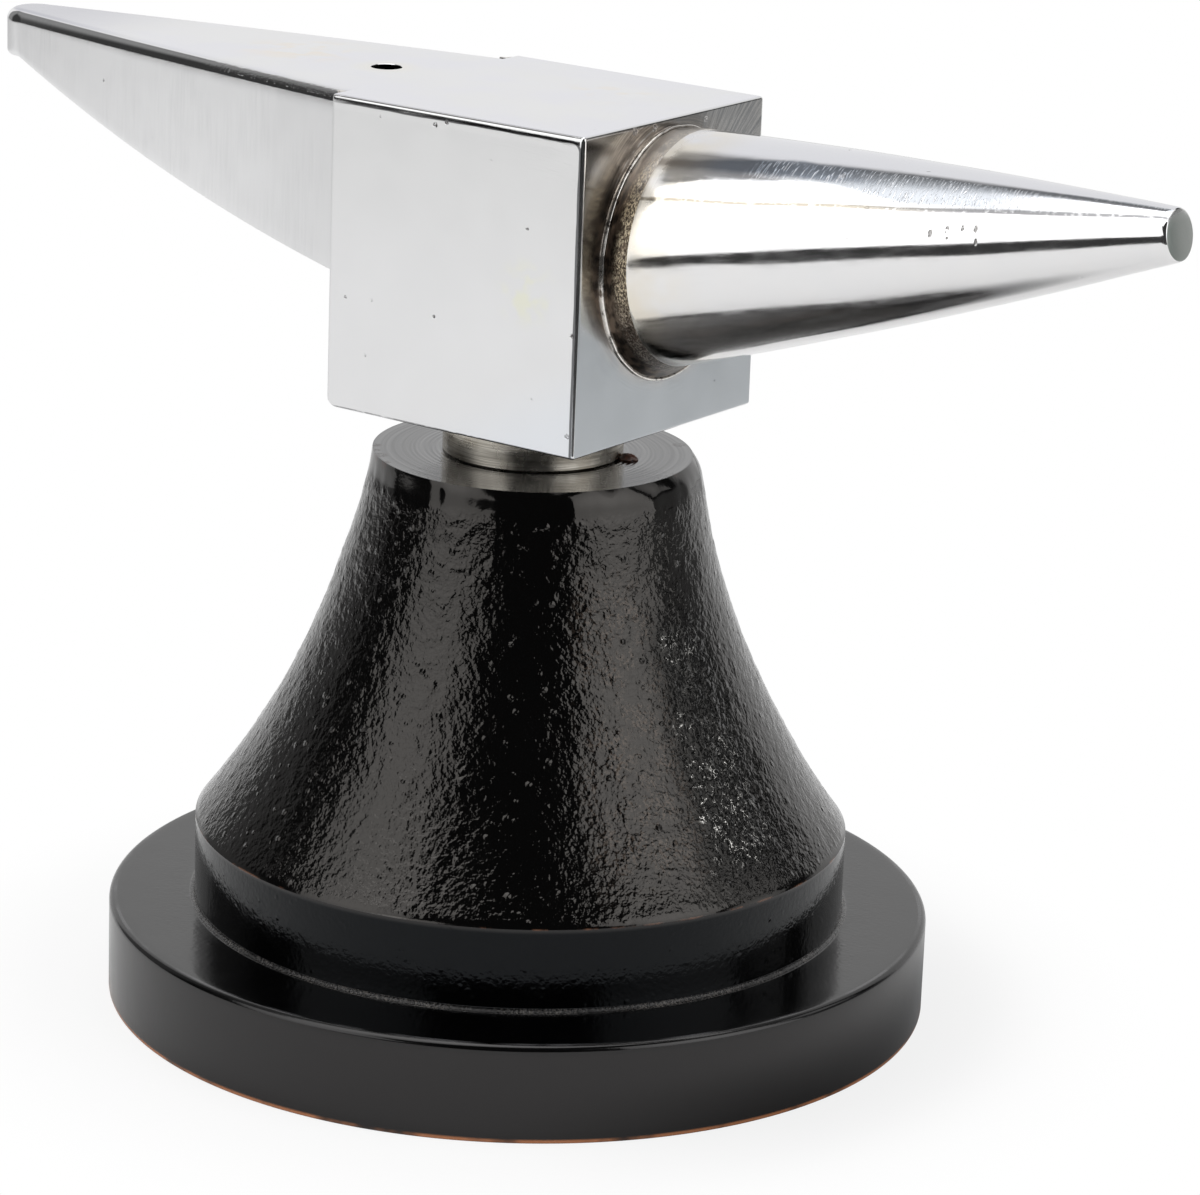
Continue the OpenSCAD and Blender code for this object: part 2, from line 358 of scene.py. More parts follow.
def make_round_horn():
    back = 4
    slope = (ROUND_ROOT_R - ROUND_TIP_R) / ROUND_L
    steps = 200
    length = ROUND_L - 0.002
    profile = [(0, -back), (ROUND_ROOT_R + back * slope, -back)]
    profile += [(round_radius(i / steps), length * i / steps) for i in range(steps)]
    c = ROUND_TIP_CHAMFER
    profile += [(ROUND_TIP_R, length - c), (ROUND_TIP_R - c * 0.3, length - c * 0.3)]
    profile += [(ROUND_TIP_R - c, length), (ROUND_TIP_R * 0.5, length), (0, length)]
    verts, faces = lathe(profile, 288)
    turn = Matrix.Translation(ROUND_START) @ Matrix.Rotation(pi / 2 - ROUND_TILT, 4, "Y")
    placed = []
    for v in verts:
        p = turn @ Vector(v)
        foot = ROUND_START + ROUND_WAY * (p - ROUND_START).dot(ROUND_WAY)
        out = p - foot
        neck = NECK * max(0, 1 - (p.x - ROUND_START.x) / SEAM_X)**1.2 if out.length > ROUND_TIP_R * 2 else 0
        wave = hand_finish(p) if out.length > ROUND_TIP_R * 1.02 else 0
        placed.append(p + out.normalized() * (wave - neck) if out.length > 0 else p)
    piece = mesh_object("round_horn_polished", placed, faces)
    cut_at_x(piece, block_high.x)
    return piece


def horn_reach(depth, way):
    """The horn's axis in the plane at this depth past the block, and how far its surface is from there."""
    centre = ROUND_START + Vector((depth, 0, depth * tan(ROUND_TILT)))
    low, high = ROUND_TIP_R, ROUND_ROOT_R * 1.2
    for _ in range(24):
        middle = (low + high) / 2
        offset = centre + way * middle - ROUND_START
        along = offset.dot(ROUND_WAY)
        inside = (offset - ROUND_WAY * along).length < round_radius(along / ROUND_L)
        low, high = (middle, high) if inside else (low, middle)
    return centre, low


def weld_section(spread):
    """The section from the block over the lip to the seam: (depth past the block, height over the horn)."""
    lip = spread - LIP_R - 0.02
    points = [(-WELD_SUNK, spread), (0.0, spread)]
    points += [(0.13 + LIP_R * sin(a), lip + LIP_R * cos(a)) for a in angles(-10, 170, LIP_STEPS)]
    for i in range(1, HOLLOW_STEPS + 1):
        t = i / HOLLOW_STEPS
        points.append((mix(HOLLOW_X, SEAM_X, t), (lip - LIP_R) * (1 - t)**2.2))
    return points + [(SEAM_X + 0.1, -0.3), (-WELD_SUNK, -0.6)]


def make_round_weld():
    verts, across, rings = [], [], []
    for a in turns(WELD_TURNS):
        way = Vector((0, cos(a), sin(a)))
        spread = -0.06 - 0.41 * way.z + 0.7 * way.z**2 + 0.06 * noise.noise(way * 6)
        section = weld_section(spread)
        line = []
        for k, (depth, height) in enumerate(section):
            centre, reach = horn_reach(max(depth, 0), way)
            p = centre + way * (reach + height)
            p.x = ROUND_START.x + depth
            if HOLLOW_FIRST < k < HOLLOW_LAST:
                p += way * 0.035 * noise.noise(p / 0.9)
            line.append(p)
            across.append(k / (len(section) - 1))
        rings.append(add_line(verts, line))
    piece = mesh_object("round_horn_weld_ground", verts, line_faces(rings + rings[:1]), radians(50))
    layer = piece.data.attributes.new("across", "FLOAT", "POINT")
    layer.data.foreach_set("value", across)
    return piece


# ---- the block

BLOCK_EDGE_R = 0.35
HEEL_R = 1.5
ROLL_W = 1.0
ROLL = 0.05
# places closer than this count as one
SAME = 1e-5


def side_places(half):
    """Places along one side of the block, closer together towards its rounded edges."""
    flat = half - BLOCK_EDGE_R
    edge = [flat + BLOCK_EDGE_R * tan(a) for a in angles(9, 45, 4)]
    near = [flat - ROLL_W * (1 - i / 8) for i in range(9)]
    middle = [mix(-near[0], near[0], i / 24) for i in range(1, 24)]
    return [-v for v in reversed(near + edge)] + middle + near + edge


def rounded(p, half):
    """A point of a box's surface, moved in to rounded edges, and its sides rolled in towards the top."""
    inner = Vector([max(-(h - BLOCK_EDGE_R), min(h - BLOCK_EDGE_R, c)) for c, h in zip(p, half)])
    out = inner + (p - inner).normalized() * BLOCK_EDGE_R
    gap = half.z - p.z
    if gap < ROLL_W and abs(abs(p.y) - half.y) < SAME:
        out.y -= copysign(ROLL * (1 - gap / ROLL_W)**2, p.y)
    return out


def heel(p, low):
    """Rounds the block's lower edge under the flat horn."""
    x, z = p.x - low.x - HEEL_R, p.z - low.z - HEEL_R
    reach = hypot(x, z)
    if x < 0 and z < 0 and reach > HEEL_R:
        p.x, p.z = low.x + HEEL_R + x * HEEL_R / reach, low.z + HEEL_R + z * HEEL_R / reach
    return p


def make_block():
    middle, half = (block_low + block_high) / 2, (block_high - block_low) / 2
    verts, faces = [], []
    for k in range(3):
        i, j = [n for n in range(3) if n != k]
        one, two = side_places(half[i]), side_places(half[j])
        for sign in (-1, 1):
            lines = []
            for u in one:
                line = []
                for v in two:
                    p = Vector((0, 0, 0))
                    p[k], p[i], p[j] = sign * half[k], u, v
                    line.append(heel(middle + rounded(p, half), block_low))
                lines.append(add_line(verts, line))
            faces += line_faces(lines, closed=False)
    return mesh_object("anvil_block_ground", verts, faces, radians(60), weld=0.001)


# ---- the flat horn and its weld

FLAT_ALONG = 72
FLAT_ACROSS = 24


def flat_half_w(t):
    return mix(FLAT_ROOT_W / 2, NOSE_R, t) + FLAT_SIDE_SWELL * swell(t)


def flat_depth(t):
    return mix(FLAT_ROOT_D, FLAT_NOSE_D, t) + FLAT_BELLY * swell(t)


def flat_outline():
    """Half of the horn's plan from the block to the nose's middle: (x, y, way in, depth) of each place."""
    places = [(block_low.x + BLOCK_EDGE_R, FLAT_ROOT_W / 2, (0, -1), FLAT_ROOT_D)]
    for i in range(FLAT_ALONG):
        t = i / FLAT_ALONG
        places.append((block_low.x - t * FLAT_TAPER_L, flat_half_w(t), (0, -1), flat_depth(t)))
    for a in angles(90, 0, 24):
        x = block_low.x - FLAT_TAPER_L - NOSE_R * cos(a)
        places.append((x, NOSE_R * sin(a), (cos(a), -sin(a)), FLAT_NOSE_D))
    return places


def flat_profile(depth):
    """The wall's profile at one place: (how far in, how far down), from the top face to the underside."""
    r, s = FLAT_EDGE_R, FLAT_LOW_EDGE_R
    upper = [(r * (1 - cos(a)), r * (1 - sin(a))) for a in angles(90, 0, 8)]
    wall = [(0, mix(r, depth - s, i / 12)) for i in range(1, 12)]
    lower = [(s * (1 - cos(a)), depth - s * (1 - sin(a))) for a in angles(0, 90, 8)]
    return upper + wall + lower


def drill(piece, x, r, countersink):
    """Cuts an upright hole with a small countersink through a piece."""
    low, top = flat_low.z - 5, WORK_Z
    profile = [(0, low), (r, low), (r, top - countersink), (r + 2 * countersink, top + countersink)]
    verts, faces = lathe(profile + [(0, top + countersink)], 72)
    cutter = mesh_object("drill", [(v[0] + x, v[1], v[2]) for v in verts], faces)
    step = piece.modifiers.new("hole", "BOOLEAN")
    step.object, step.operation, step.solver = cutter, "DIFFERENCE", "EXACT"
    drilled = bpy.data.meshes.new_from_object(piece.evaluated_get(bpy.context.evaluated_depsgraph_get()))
    piece.modifiers.clear()
    piece.data = drilled
    bpy.data.objects.remove(cutter)
    drilled.set_sharp_from_angle(angle=radians(25))


def make_flat_horn():
    """The wall runs round the plan; the top and the underside are laid between its two sides."""
    half = flat_outline()
    places = half + [(x, -y, (n[0], -n[1]), depth) for x, y, n, depth in reversed(half[:-1])]
    verts, walls = [], []
    for x, y, n, depth in places:
        line = [(x + n[0] * q, y + n[1] * q, WORK_Z - down) for q, down in flat_profile(depth)]
        walls.append(add_line(verts, line))
    faces = line_faces(walls, closed=False)
    roots = []
    nose = walls[len(half) - 1]
    for k in (0, -1):
        lines = []
        for left, right in zip(walls, walls[:len(half) - 1:-1]):
            a, b = Vector(verts[left[k]]), Vector(verts[right[k]])
            between = add_line(verts, [mix(a, b, j / FLAT_ACROSS) for j in range(1, FLAT_ACROSS)])
            lines.append([left[k], *between, right[k]])
        faces += line_faces(lines, closed=False) + [lines[-1] + [nose[k]]]
        roots.append(lines[0])
    faces.append([*roots[0][::-1], *walls[0][1:], *roots[1][1:], *walls[-1][-2:0:-1]])
    piece = mesh_object("flat_horn_ground", verts, faces)
    drill(piece, PUNCH_X, PUNCH_R, 0.04)
    return piece


def root_path():
    """The flat horn's root from the top of one side round to the top of the other: (y, z, way out)."""
    w, top, low, s = FLAT_ROOT_W / 2, WORK_Z - 0.04, WORK_Z - FLAT_ROOT_D, FLAT_LOW_EDGE_R
    side = [(-w, mix(top, low + s, i / 60), (-1, 0)) for i in range(60)]
    ways = [(cos(a), sin(a)) for a in angles(180, 270, 8)]
    corner = [(-w + s + s * n[0], low + s + s * n[1], n) for n in ways]
    under = [(mix(-w + s, 0, i / 30), low, (0, -1)) for i in range(1, 30)]
    half = side + corner + under
    return half + [(0, low, (0, -1))] + [(-y, z, (-n[0], n[1])) for y, z, n in reversed(half)]


def make_flat_weld():
    verts, rings = [], []
    for y, z, n in root_path():
        p = Vector((block_low.x, y, z))
        leg = (0.62 + 0.5 * ease(-n[1], 0, 1)) + 0.16 * noise.noise(p / 2.5)
        section = [(leg * (1 - cos(a)), leg * (1 - sin(a))) for a in angles(0, 90, 8)]
        line = []
        for depth, out in [(-0.1, leg)] + section + [(leg, -0.3), (-0.1, -0.3)]:
            bump = 0.05 * noise.noise(Vector((depth, y, z)) / 0.7) if 0 < depth < leg else 0
            line.append((block_low.x - depth - bump, y + n[0] * (out + bump), z + n[1] * (out + bump)))
        rings.append(add_line(verts, line))
    faces = line_faces(rings) + [rings[0], rings[-1]]
    return mesh_object("flat_horn_weld_ground", verts, faces, radians(45))


# ---- nodes


class Field:
    """A number that varies over a surface or a world. Arithmetic on it adds nodes to its tree."""

    def __init__(self, nodes, socket):
        self.nodes, self.socket = nodes, socket

    def __add__(self, other):
        return self.nodes.math("ADD", self, other)

    def __sub__(self, other):
        return self.nodes.math("SUBTRACT", self, other)

    def __rsub__(self, other):
        return self.nodes.math("SUBTRACT", other, self)

    def __mul__(self, other):
        return self.nodes.math("MULTIPLY", self, other)

    def __truediv__(self, other):
        return self.nodes.math("DIVIDE", self, other)

    __radd__, __rmul__ = __add__, __mul__

    def ramp(self, low, high, out_low=0.0, out_high=1.0):
        """Goes smoothly from out_low to out_high while the number goes from low to high."""
        node = self.nodes.add("ShaderNodeMapRange", {"interpolation_type": "SMOOTHSTEP"}, Value=self,
                              From_Min=low, From_Max=high, To_Min=out_low, To_Max=out_high)
        return Field(self.nodes, node.outputs[0])

    def band(self, low, high, soft):
        """1 between low and high, fading over soft outside them."""
        return self.ramp(low - soft, low) * self.ramp(high + soft, high)


class Nodes:
    """A node tree, built with one call for each node."""

    def __init__(self, owner):
        owner.use_nodes = True
        self.tree = owner.node_tree
        self.tree.nodes.clear()

    def add(self, kind, settings=None, **inputs):
        """A new node; the names of its inputs have _ for a space."""
        node = self.tree.nodes.new(kind)
        for key, value in (settings or {}).items():
            setattr(node, key, value)
        for key, value in inputs.items():
            self.put(node.inputs[key.replace("_", " ")], value)
        return node

    def put(self, socket, value):
        """Links a field or a socket to an input, or sets the input; a colour is three numbers."""
        if isinstance(value, Field):
            value = value.socket
        if isinstance(value, bpy.types.NodeSocket):
            self.tree.links.new(value, socket)
        elif socket.type == "RGBA":
            socket.default_value = (*value, 1.0)
        else:
            socket.default_value = value

    def operate(self, kind, what, terms):
        node = self.add(kind, {"operation": what})
        for socket, value in zip(node.inputs, terms):
            self.put(socket, value)
        return node.outputs

    def math(self, what, *terms):
        return Field(self, self.operate("ShaderNodeMath", what, terms)[0])

    def vector(self, what, *terms):
        """A vector got from others, as a socket."""
        return self.operate("ShaderNodeVectorMath", what, terms)["Vector"]

    def measure(self, what, *terms):
        """A number got from vectors."""
        return Field(self, self.operate("ShaderNodeVectorMath", what, terms)["Value"])

    def larger(self, a, b):
        return self.math("MAXIMUM", a, b)

    def length(self, a, b):
        """The length of the vector (a, b)."""
        return self.math("SQRT", a * a + b * b)

    def split(self, vector):
        return [Field(self, socket) for socket in self.add("ShaderNodeSeparateXYZ", Vector=vector).outputs]

    def join(self, x, y, z=0.0):
        return self.add("ShaderNodeCombineXYZ", X=x, Y=y, Z=z).outputs[0]


class Shader(Nodes):
    """A node material. Its coordinates, sizes and bump heights are in millimetres."""

    def __init__(self, name):
        self.material = bpy.data.materials.new(name)
        super().__init__(self.material)
        outputs = self.add("ShaderNodeTexCoord").outputs
        self.coords = self.vector("MULTIPLY", outputs["Object"], (1 / MM, 1 / MM, 1 / MM))
        self.x, self.y, self.z = self.split(self.coords)
        self.nx, self.ny, self.nz = self.split(outputs["Normal"])
        self.color = None

    def stretched(self, x=1, y=1, z=1, turn=(0, 0, 0), coords=None):
        """The coordinates turned and then scaled, so that a pattern's features are drawn out or packed."""
        turned = self.add("ShaderNodeMapping", Vector=coords or self.coords, Rotation=turn).outputs[0]
        return self.add("ShaderNodeMapping", Vector=turned, Scale=(x, y, z)).outputs[0]

    def noise(self, size, detail=3, rough=0.5, coords=None):
        """Soft noise whose features are about size wide."""
        node = self.add("ShaderNodeTexNoise", Vector=coords or self.coords, Scale=1 / size, Detail=detail,
                        Roughness=rough)
        return Field(self, node.outputs["Fac"])

    def patches(self, size, detail, low, high):
        """Noise sharpened to 0 where it is under low and 1 where it is over high."""
        return self.noise(size, detail).ramp(low, high)

    def veins(self, size):
        """How far soft noise is from its middle value, so 0 along winding lines."""
        return self.math("ABSOLUTE", self.noise(size, 2) - 0.5)

    def cells(self, size, coords=None):
        """Distance from the nearest of points strewn about size apart, in shares of that size."""
        node = self.add("ShaderNodeTexVoronoi", Vector=coords or self.coords, Scale=1 / size)
        return Field(self, node.outputs["Distance"])

    def distance(self, point, coords=None):
        return self.measure("DISTANCE", coords or self.coords, point)

    def spot(self, point, radius, soft):
        """1 at a point, fading out at its radius over a share soft of it."""
        return self.distance(point).ramp(radius, radius * (1 - soft))

    def spots(self, places, slim=1):
        """Spots at places of (x, y, z, radius), each slim times narrower along x."""
        coords = self.stretched(slim)
        total = 0.0
        for x, y, z, radius in places:
            total = self.larger(total, self.distance((x * slim, y, z), coords).ramp(radius, radius / 2))
        return total

    def blend(self, share, a, b):
        """A colour between a and b."""
        node = self.add("ShaderNodeMix", {"data_type": "RGBA"})
        for i, value in ((0, share), (6, a), (7, b)):
            self.put(node.inputs[i], value)
        return node.outputs[2]

    def paint(self, share, color):
        """Lays a colour over the base colour."""
        self.color = self.blend(share, self.color, color)

    def surface(self, height, **inputs):
        """Ends the material with a bump of this height and with these inputs of the principled shader."""
        bump = self.add("ShaderNodeBump", Height=height, Distance=MM, Strength=1.0).outputs[0]
        body = self.add("ShaderNodeBsdfPrincipled", Base_Color=self.color, Normal=bump, **inputs)
        self.add("ShaderNodeOutputMaterial", Surface=body.outputs[0])
        return self.material

    def steel(self, height, gloss):
        return self.surface(height, Metallic=1.0, Roughness=gloss)


# ---- the enamel

GROOVE_W = 0.5
# nicks on the turned face: (x, y, radius)
DISC_NICKS = ((-11.92, -9.05, 0.7), (-10.7, -10.5, 0.55), (-9.36, -11.64, 0.9), (-7.52, -13.36, 0.8),
              (9.29, 11.09, 0.8), (15.1, 2.14, 0.5))


def facing(s, at, way):
    """The cosine between the way out from the pedestal's axis and another level way."""
    return (s.x * way.x + s.y * way.y) / at.radius


def pedestal_parts(s):
    """The pedestal's parts, its patch of tan dusting and painted sheen and its craggy patch, each 1 on its
    own place and 0 elsewhere.
    """
    at = SimpleNamespace(radius=s.length(s.x, s.y))
    at.bell = s.z.ramp(RIM_Z + 0.1, RIM_Z + 0.7) * s.z.ramp(STAND_H - 1.8, STAND_H - 3.2)
    at.wall = s.z.band(FOOT_H + 0.5, RIM_Z - 0.5, 0.4) * s.nz.ramp(0.5, 0.2)
    at.fillet = s.z.band(FOOT_H - 0.05, FOOT_H + 0.35, 0.05) * at.radius.ramp(BAND_R + 0.55, BAND_R + 0.35)
    inward = at.radius.ramp(FOOT_R - 1, BAND_R + 0.5)
    at.flange = s.nz.ramp(0.9, 0.97) * inward * s.z.ramp(RIM_Z, FOOT_H + 0.2)
    at.disc = s.z.ramp(STAND_H - 0.06, STAND_H - 0.02) * s.nz.ramp(0.75, 0.9)
    core = at.radius.ramp(CORE_MOUTH_R + 1, CORE_MOUTH_R + 0.3) * s.z.ramp(CORE_H + 1, CORE_H + 0.3)
    at.under = s.larger(core, s.nz.ramp(-0.6, -0.9))
    at.outer = (1 - at.disc) * (1 - at.under)
    # tan dusting, partly real and partly painted sheen where light catches the enamel's wrinkles
    dusty = facing(s, at, DUST_AND_SHEEN_WAY).ramp(0.965, 0.998) * s.z.band(24, 43, 6)
    at.dusty = dusty * s.patches(2.2, 3, 0.35, 0.6)
    at.craggy = facing(s, at, ROUGH_PATCH).ramp(0.968, 0.995) * s.z.band(22, 40, 5)
    return at


def enamel_height(s, at):
    """Pebbles and orange peel on the bell, less of both on the foot, and grooves on the turned face."""
    speck = s.cells(1.15).ramp(0.27, 0.0) * s.patches(1.7, 1, 0.42, 0.6)
    dome = s.cells(2.0, s.stretched(turn=(0.4, 0.9, 0.2))).ramp(0.2, 0.0)
    peel = s.noise(0.9, 2) * 0.075
    fine = s.noise(0.45, 2) * at.dusty.ramp(0, 1, 0.05, 0.085)
    skin = peel + fine + speck * 0.07 + dome * 0.11 + at.craggy * s.veins(1.1) * 0.35
    height = skin * (at.bell + at.wall * 0.24 + at.flange * 0.1) + s.noise(7, 1) * 0.02
    height = height + at.fillet * s.noise(0.25) * 0.14 + fine * 0.12
    wave = s.math("SINE", at.radius * (2 * pi / GROOVE_W))
    around = s.join(at.radius, s.math("ARCTAN2", s.y, s.x) * 0.4)
    grooves = wave * at.radius.ramp(DISC_R - 3, BORE_R + 3, 0.002, 0.009)
    grooves = grooves + s.noise(0.16, 2, 0.6, around) * 0.012
    return height * at.outer + grooves * at.disc + s.noise(0.5, 4) * at.under * 0.12


def paint_enamel(s, at):
    """Black, painted lighter on the foot as painted light, with tan dusting and painted sheen, metal flecks
    as painted glints, a worn line where the bell meets the band, an orange line along the foot's lower edge,
    a painted highlight on the foot's upper edge, the thin enamel of the turned face and its nicks.
    """
    # metal flecks whose bright colour stands in for glints of light on the enamel's ridges: painted glints
    glint_spread = at.craggy + s.noise(3) + s.z.ramp(22, 36, 0.0, -0.24)
    flecks = s.veins(0.6).ramp(0.024, 0.008) * s.patches(0.7, 2, 0.5, 0.57)
    at.glint = at.bell * flecks * glint_spread.ramp(1.15, 1.5)
    at.dust = at.bell * at.dusty * s.patches(0.3, 3, 0.46, 0.64) * 0.7
    at.corner_dust = at.fillet * s.patches(0.22, 3, 0.44, 0.64) * s.patches(4, 2, 0.3, 0.6)
    nicks = s.spots([(x, y, STAND_H, radius) for x, y, radius in DISC_NICKS])
    at.nick = nicks * s.patches(0.5, 3, 0.42, 0.52)
    worn = s.z.band(RIM_Z - 0.06, RIM_Z + 0.04, 0.06) * s.patches(2.6, 4, 0.5, 0.66)
    low_edge = s.z.ramp(0.55, 0.3) * at.radius.ramp(FOOT_R - 1, FOOT_R - 0.4) * s.patches(5, 3, 0.28, 0.5)
    # a lighter line along the foot's upper edge: painted highlight
    rim = at.radius.band(FOOT_R - 0.72, FOOT_R - 0.5, 0.1) * s.z.band(FOOT_H - 0.1, FOOT_H + 1, 0.1)
    rings = s.noise(0.8, 2, 0.6, s.join(at.radius, 0.0)).ramp(0.36, 0.64)
    # the foot below the flange is painted lighter than the bell: painted light
    s.color = s.blend(s.z.ramp(FOOT_H - 0.5, FOOT_H - 1), (0.0007, 0.0007, 0.0008), (0.007, 0.006, 0.006))
    # tan colour, partly dusting and partly painted sheen
    s.paint(at.dust, (0.11, 0.085, 0.068))
    s.paint(worn, (0.10, 0.045, 0.025))
    # painted glints
    s.paint(at.glint, (0.62, 0.61, 0.58))
    s.paint(low_edge, (0.46, 0.18, 0.075))
    s.paint(at.corner_dust, (0.09, 0.082, 0.075))
    s.paint(rim * s.patches(9, 3, 0.4, 0.62), (0.07, 0.07, 0.073))
    s.paint(at.under, (0.02, 0.019, 0.018))
    s.paint(at.disc, s.blend(rings, (0.085, 0.085, 0.087), (0.15, 0.15, 0.152)))
    s.paint(at.nick, (0.03, 0.012, 0.010))


def black_enamel():
    """Gloss black enamel: pebbled on the cast bell, smoother on the turned foot, thin on the turned face."""
    s = Shader("black_enamel")
    at = pedestal_parts(s)
    paint_enamel(s, at)
    low = s.z.ramp(RIM_Z + 0.1, RIM_Z - 0.1)
    gloss = s.noise(3, 4).ramp(0.3, 0.7, 0.05, 0.11) + low * 0.06
    gloss = gloss * at.outer + at.disc * 0.09 + at.under * 0.6 + s.larger(at.corner_dust, at.dust) * 0.2
    tint = s.blend(low, (1, 0.95, 0.90), (1, 0.985, 0.985))
    # the band's wall and the craggy patch reflect less than the rest of the enamel: painted shade in their
    # reflections
    tint = s.blend(at.wall * 0.9, tint, (0.26, 0.29, 0.32))
    tint = s.blend(at.craggy * 0.8, tint, (0.45, 0.44, 0.42))
    tint = s.blend(at.disc, tint, (1, 1, 1))
    bare = s.larger(at.disc * (1 - at.nick), at.glint)
    return s.surface(enamel_height(s, at), Metallic=bare, Roughness=gloss, Specular_Tint=tint)


def run_enamel():
    """The dried run of enamel, brown where it is thin."""
    s = Shader("brown_run")
    s.color = s.blend(s.patches(0.4, 3, 0.35, 0.65), (0.03, 0.014, 0.010), (0.13, 0.06, 0.04))
    return s.surface(s.noise(0.3, 2) * 0.05, Roughness=0.3)


# ---- the steels

WELD_RING_R = 11.6
# pits and nicks, the radius last: (x, z) on the front, (y, z) on the end face, (x, y, z) on the round horn
FRONT_PITS = ((-1.7, 87.7, 0.3), (-0.4, 88.1, 0.25), (9.1, 79.7, 0.2), (-1.3, 69.8, 0.2), (-11.8, 69.9, 0.2),
              (14.5, 70.6, 0.28), (14.3, 61.2, 0.3))
END_PITS = ((-6.5, 88.5, 0.5), (-3.4, 88.3, 0.45), (4.8, 88.0, 0.3))
HORN_NICKS = ((46.7, -6.2, 83.9, 0.5), (48.2, -5.8, 84.4, 0.45), (48.3, -6.0, 83.8, 0.3),
              (49.6, -5.5, 84.7, 0.35), (50.8, -5.4, 84.8, 0.45), (51.0, -5.6, 83.7, 0.35),
              (17.3, -2.1, 87.8, 0.45), (16.9, -0.4, 87.9, 0.4), (34.0, 0.1, 88.5, 0.3))
HORN_NICK_SLIM = 2.2
# a painted highlight: the thin bright line round the weld on the end face, part of an oval
OVAL_Z = 76.34
OVAL_HALF_W = 11.25
OVAL_HALF_H = 12.04


def painted_front_rim_reflection(s):
    """A painted dark reflection: the thin dark line inside the front face's upper and right-hand edges."""
    turn_r = 0.9
    x = s.larger(s.x - (block_high.x - 0.42 - turn_r), 0.0)
    z = s.larger(s.z - (WORK_Z - 0.62 - turn_r), 0.0)
    off = s.length(x, z) - turn_r + s.noise(5) * 0.25 - 0.12
    thin = s.x.ramp(4, -10, 0.11, 0.02)
    return off.ramp(-0.16, -0.09) * (off - thin).ramp(0.07, 0.0)


def block_parts(s):
    """The block's and the flat horn's faces, and the patterns of their grinding."""
    at = SimpleNamespace(front=s.ny.ramp(-0.8, -0.95), end=s.nx.ramp(0.8, 0.95), top=s.nz.ramp(0.8, 0.95))
    at.below = 1 - at.top
    axis_z = s.z - ROUND_AXIS_Z
    angle = s.math("ARCTAN2", axis_z, s.y)
    at.ring = s.length(s.y, axis_z)
    at.arcs = s.noise(0.16, 3, 0.6, s.join(at.ring, angle * 0.5))
    at.fan = s.noise(1, 3, 0.6, s.join(angle * 55, at.ring * 0.2))
    at.far = s.y.ramp(3, 6) * s.z.ramp(82, 85)
    front_pits = s.spots([(x, block_low.y, z, radius) for x, z, radius in FRONT_PITS])
    end_pits = s.spots([(block_high.x, y, z, radius) for y, z, radius in END_PITS])
    pits = s.larger(front_pits * at.front, end_pits * at.end)
    strewn = s.cells(3.1).ramp(0.07, 0.03) * s.patches(9, 2, 0.5, 0.62)
    at.pitted = s.larger(pits, strewn * 0.25) * s.patches(0.2, 2, 0.35, 0.6)
    return at


def block_height(s, at):
    """Marks of grinding, their own on each face, with the pits and the burr along the flat horn's edge."""
    arched = s.join(s.x, s.y, s.z + s.x * s.x * 0.005)
    brushed = s.noise(0.16, 3, 0.6, s.stretched(0.03, 1, 1, coords=arched))
    scratched = s.x.band(3, 14.2, 2) * s.z.band(81, 87.5, 1.5)
    front = brushed * scratched.ramp(0, 1, 0.0008, 0.003)
    front = front + s.noise(0.3, 2, 0.6, s.stretched(0.05, 1, 1, (0, 0.12, 0))) * 0.0012
    end = at.arcs * at.ring.ramp(WELD_RING_R + 5, WELD_RING_R, 0.0005, 0.006) + at.fan * at.far * 0.008
    end = end + s.noise(0.14, 3, 0.6, s.stretched(1, 1, 0.03)) * 0.0012
    top = s.noise(0.18, 3, 0.6, s.stretched(0.04, 1, 1, (0, 0, 0.35))) * 0.0007
    side = s.noise(0.2, 3, 0.6, s.stretched(1, 1, 0.06, (0, 0.5, 0))) * 0.001
    side = side * (1 - s.larger(s.larger(at.front, at.end), at.top))
    burr = s.nz.band(0.35, 0.93, 0.1) * s.x.band(-31, -14.4, 4) * s.y.ramp(0, -5)
    marks = front * at.front + end * at.end + top * at.top + side
    return marks + s.noise(8, 2) * 0.005 - at.pitted * 0.05 + burr * s.noise(0.25) * 0.035


def paint_top(s, at):
    """The working face and the flat horn's top, with faint stains, painted shade towards the nose, and the
    punch hole painted dark as painted shade.
    """
    s.paint(at.top, s.blend(s.noise(7), (0.80, 0.80, 0.81), (0.84, 0.84, 0.85)))
    s.paint(at.top * s.patches(9, 3, 0.35, 0.65), (0.80, 0.80, 0.85))
    # painted shade: the top darker towards the flat horn's nose
    s.paint(at.top * s.x.ramp(-44, -62), (0.57, 0.57, 0.62))
    on_horn = s.spot((-30, 0.8, WORK_Z), 8, 0.8) * s.patches(3, 4, 0.42, 0.6) * 0.8
    on_block = s.spot((4, 5, WORK_Z), 7, 0.9) * s.patches(2.5, 4, 0.5, 0.66) * 0.5
    s.paint(at.top * s.larger(on_horn, on_block), (0.86, 0.78, 0.68))
    s.paint(at.top * s.spot((PUNCH_X, 0, WORK_Z), 4.2, 0.8) * 0.6, (0.86, 0.82, 0.70))
    # the punch hole's wall painted dark: painted shade
    punch_hole_shade = s.distance((PUNCH_X, 0, 0), s.join(s.x, s.y)).ramp(PUNCH_R + 0.06, PUNCH_R + 0.02)
    s.paint(punch_hole_shade * s.z.ramp(WORK_Z - 0.03, WORK_Z - 0.05), (0.03, 0.028, 0.026))


